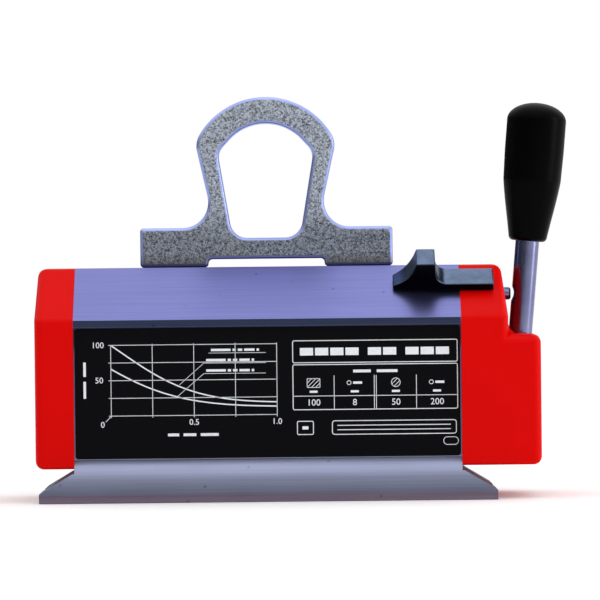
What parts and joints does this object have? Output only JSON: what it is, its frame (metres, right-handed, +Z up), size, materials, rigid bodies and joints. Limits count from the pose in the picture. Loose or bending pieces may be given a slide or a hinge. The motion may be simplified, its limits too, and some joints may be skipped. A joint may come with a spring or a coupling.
{
  "type": "lifting magnet",
  "caption": "Hand-switched permanent lifting magnet with steel poles, red end caps, forged shackle, swinging lever and thumb-slide lock pin.",
  "frame": {"origin": "middle of the contact plane under the two pole feet, on the axis of the groove between them", "axes": "+X along the body towards the lever, +Y towards the side the lever swings to, +Z up towards the shackle"},
  "size_m": [0.2695, 0.096, 0.203],
  "materials": {
    "ground_steel": "finely ground, satin",
    "nonmagnetic_steel": "machined",
    "plate_steel": "zinc plated",
    "black_screw": "black oxide",
    "bright_screw": "zinc plated",
    "bearing_bronze": "turned",
    "seal_rubber": "moulded",
    "red_plastic": "glossy moulded",
    "forged_steel": "forged, shot blasted and zinc plated",
    "label_black": "printed, satin",
    "rotor_steel": "turned",
    "magnet": "nickel plated",
    "hub_steel": "blackened",
    "bright_rod": "bright drawn",
    "grip_black": "glossy moulded",
    "plated_casting": "dark plated"
  },
  "bodies": {
    "magnet_body": {"front_pole": "ground_steel", "rear_pole": "ground_steel", "ridge_bar": "ground_steel", "keel_bar": "nonmagnetic_steel", "left_end_plate": "plate_steel", "right_end_plate": "plate_steel", "end_plate_screws": "black_screw", "left_bush": "bearing_bronze", "right_bush": "bearing_bronze", "shaft_seal": "seal_rubber", "left_cap": "red_plastic", "right_cap": "red_plastic", "cap_screws": "bright_screw", "lifting_shackle": "forged_steel", "shackle_screws": "black_screw", "shackle_washers": "bright_screw", "front_label": "label_black", "rear_label": "label_black", "lock_guide_bush": "bearing_bronze", "lock_spring": "bright_screw", "left_thrust_washer": "bearing_bronze", "right_thrust_washer": "bearing_bronze"},
    "lever": {"front_rotor_segment": "rotor_steel", "rear_rotor_segment": "rotor_steel", "rotor_magnets": "magnet", "left_rotor_flange": "nonmagnetic_steel", "right_rotor_flange": "nonmagnetic_steel", "rotor_screws": "black_screw", "lever_hub": "hub_steel", "hub_key": "bright_screw", "hub_screw": "bright_screw", "rod_grub_screw": "black_screw", "lever_rod": "bright_rod", "grip_insert": "bearing_bronze", "lever_grip": "grip_black"},
    "lock": {"lock_pin": "bright_rod", "link_stud": "bright_rod", "thumb_slide": "plated_casting"}
  },
  "joints": [
    {"name": "lever_swing", "type": "hinge", "parent": "magnet_body", "child": "lever", "pos_m": [0, 0, 0.0475], "axis": [1, 0, 0], "range_deg": [-90, 0]},
    {"name": "lock_slide", "type": "slide", "parent": "magnet_body", "child": "lock", "axis": [1, 0, 0], "range_m": [-0.0015, 0.003], "stiffness_N_per_m": 200, "springref_m": 0.004}
  ]
}
